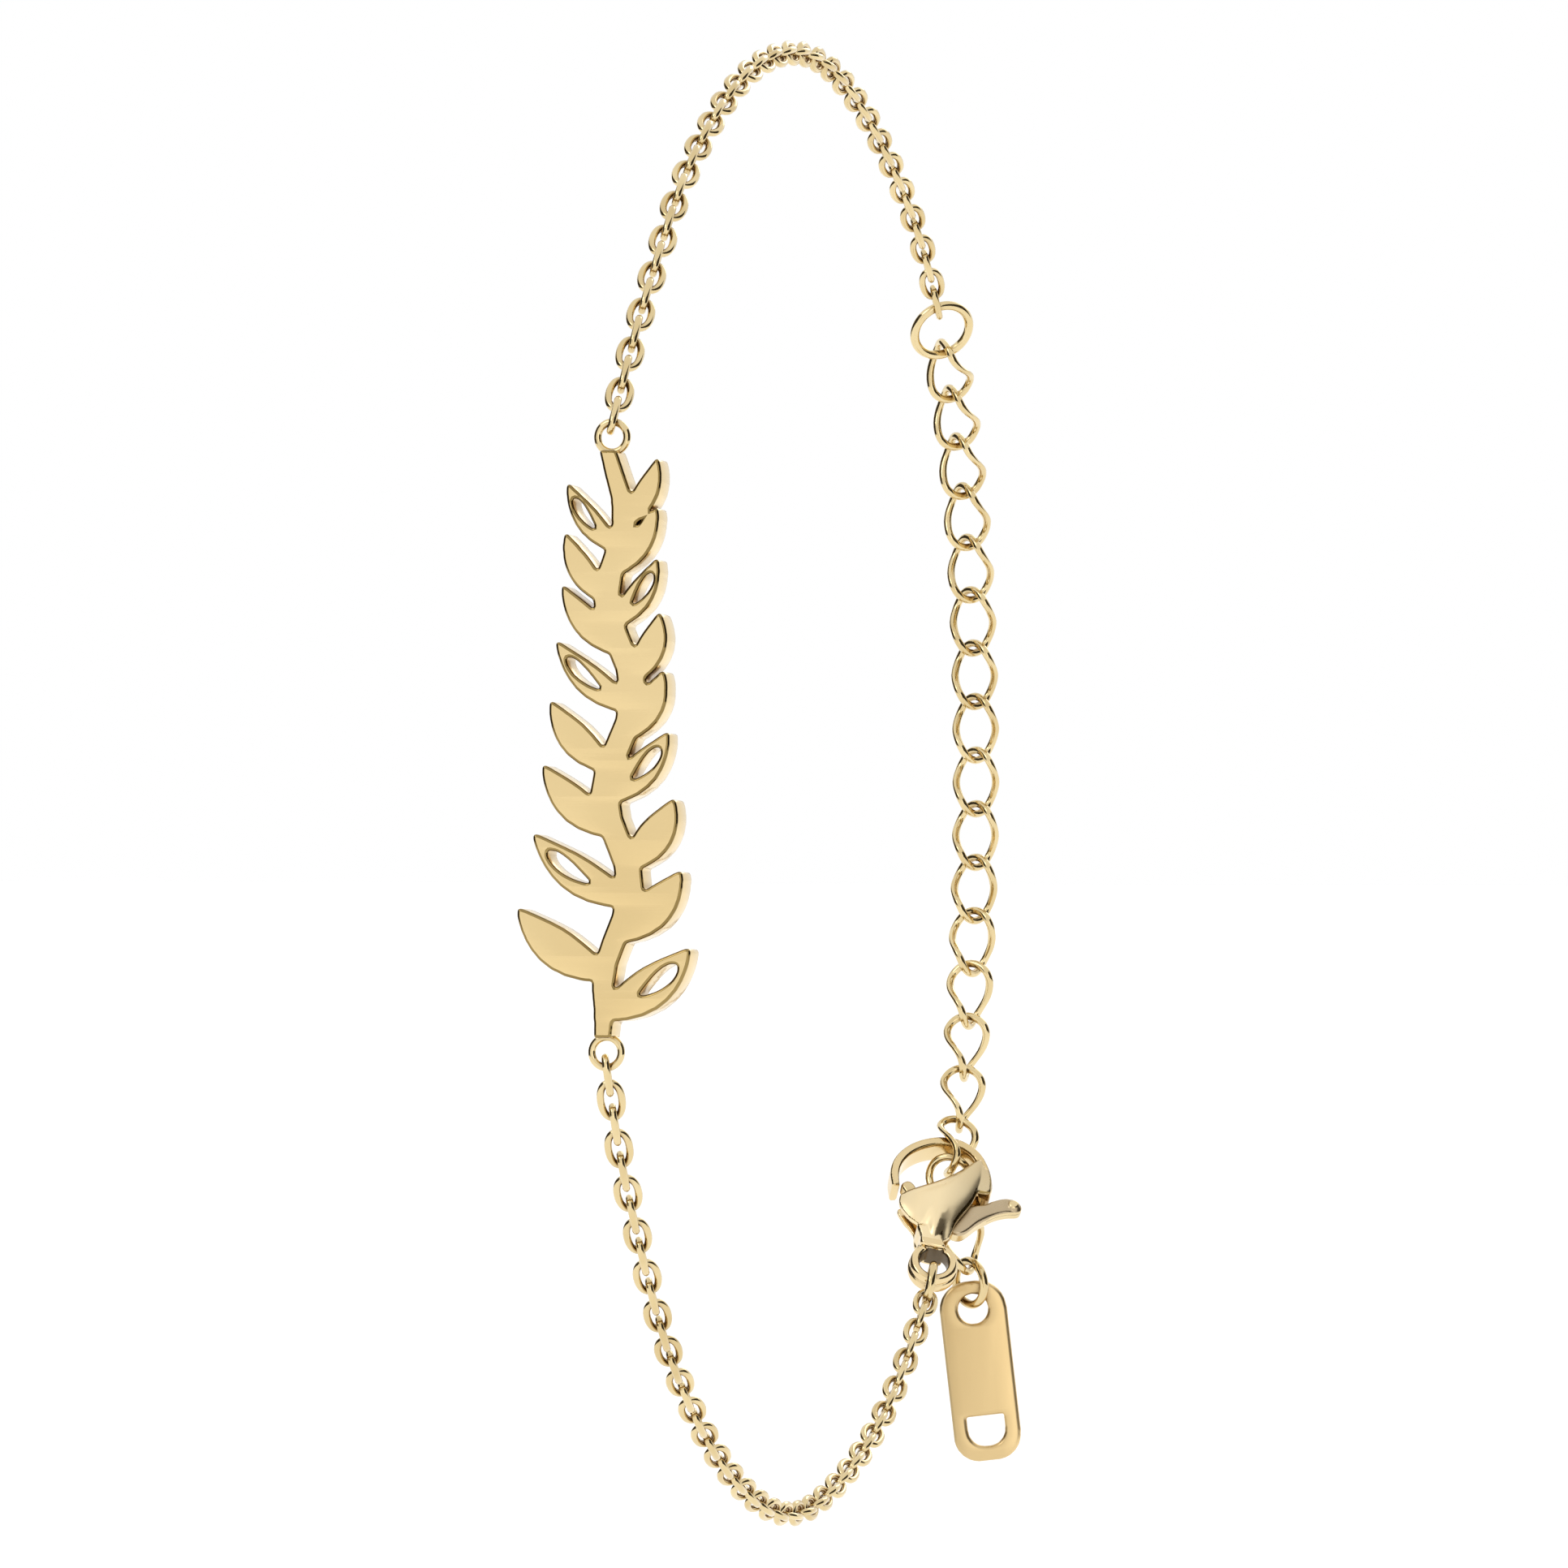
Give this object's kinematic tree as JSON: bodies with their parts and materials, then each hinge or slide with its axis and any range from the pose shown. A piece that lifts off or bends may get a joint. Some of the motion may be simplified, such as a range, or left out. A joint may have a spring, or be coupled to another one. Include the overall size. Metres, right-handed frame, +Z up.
{
  "type": "nameplate bracelet",
  "caption": "Fastened bracelet with a plate cut as a pierced leafy branch, fine cable chain, twisted link extender with an end tag and a lobster clasp.",
  "frame": {"origin": "centre of the round loop that the fastened bracelet makes, where the wrist passes", "axes": "+Z up as the bracelet hangs in the picture, -Y towards the nameplate, +Y towards the extender and clasp, X along the wrist"},
  "size_m": [0.008, 0.072, 0.0711],
  "materials": {
    "plate_gold": "polished gold plate",
    "chain_gold": "polished gold plate",
    "tag_gold": "satin gold plate",
    "clasp_gold": "polished gold plate",
    "lever_gold": "polished gold plate"
  },
  "bodies": {
    "bracelet": {"nameplate": "plate_gold", "upper_chain": "chain_gold", "end_ring": "chain_gold", "extender_link_01": "chain_gold", "extender_link_02": "chain_gold", "extender_link_03": "chain_gold", "extender_link_04": "chain_gold", "extender_link_05": "chain_gold", "extender_link_06": "chain_gold", "extender_link_07": "chain_gold", "extender_link_08": "chain_gold", "extender_link_09": "chain_gold", "extender_link_10": "chain_gold", "extender_link_11": "chain_gold", "extender_link_12": "chain_gold", "extender_link_13": "chain_gold", "extender_link_14": "chain_gold", "extender_link_15": "chain_gold", "extender_link_16": "chain_gold", "extender_link_17": "chain_gold", "extender_link_18": "chain_gold", "tag_ring": "chain_gold", "tag": "tag_gold", "clasp_body": "clasp_gold", "clasp_pin": "lever_gold", "clasp_link": "chain_gold", "lower_chain": "chain_gold"},
    "lever": {"clasp_lever": "lever_gold"}
  },
  "joints": [
    {"name": "lever_pivot", "type": "hinge", "parent": "bracelet", "child": "lever", "pos_m": [-0.00014, 0.02776, -0.02239], "axis": [-0.3192, 0.7328, -0.6009], "range_deg": [0, 22], "stiffness_Nm_per_rad": 0.002, "springref_deg": -20.05}
  ]
}
